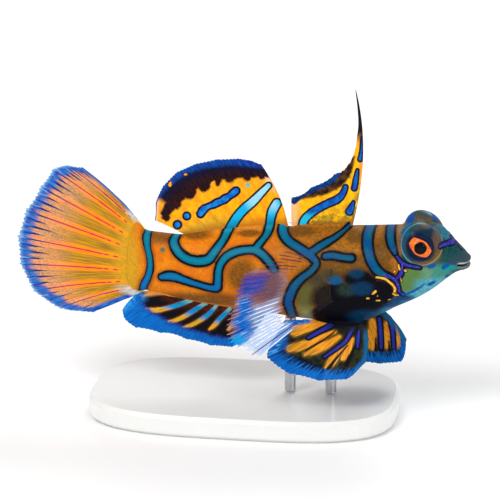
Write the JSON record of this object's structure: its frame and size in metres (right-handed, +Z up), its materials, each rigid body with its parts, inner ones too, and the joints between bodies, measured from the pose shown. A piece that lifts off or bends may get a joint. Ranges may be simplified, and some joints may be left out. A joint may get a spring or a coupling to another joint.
{
  "type": "mandarinfish model on a display stand",
  "caption": "Life-size still model of a male mandarinfish swimming with spread fins, held above a flat stand by short rods.",
  "frame": {"origin": "centre of the underside of the stand's base, on the floor", "axes": "+X towards the fish's snout, along its length; +Z up; -Y towards the fish's right side"},
  "size_m": [0.0742, 0.03, 0.054],
  "materials": {
    "head_skin": "moist skin, blue-green with blue and purple lines and yellow dots",
    "body_skin": "moist skin, orange with winding blue-green stripes edged in black",
    "dorsal_membrane": "fin membrane, yellow-orange with blue stripes and a dark margin",
    "tail_membrane": "fin membrane, orange with magenta rays and blue ray tips",
    "lower_fin_membrane": "fin membrane, orange and blue bands with a blue margin",
    "pectoral_membrane": "clear membrane with fine white and violet rays",
    "eye": "glossy, orange iris and black pupil",
    "stand_lacquer": "satin off-white lacquer",
    "stand_steel": "fine brushed"
  },
  "bodies": {
    "root": {"head": "head_skin", "trunk": "body_skin", "tail_stock": "body_skin", "eye_right": "eye", "eye_left": "eye", "dorsal_fin_front": "dorsal_membrane", "dorsal_fin_rear": "dorsal_membrane", "caudal_fin": "tail_membrane", "anal_fin": "lower_fin_membrane", "pectoral_fin_right": "pectoral_membrane", "pectoral_fin_left": "pectoral_membrane", "pelvic_fin_right": "lower_fin_membrane", "pelvic_fin_left": "lower_fin_membrane", "stand_base": "stand_lacquer", "stand_rod_front": "stand_steel", "stand_rod_rear": "stand_steel"}
  },
  "joints": []
}
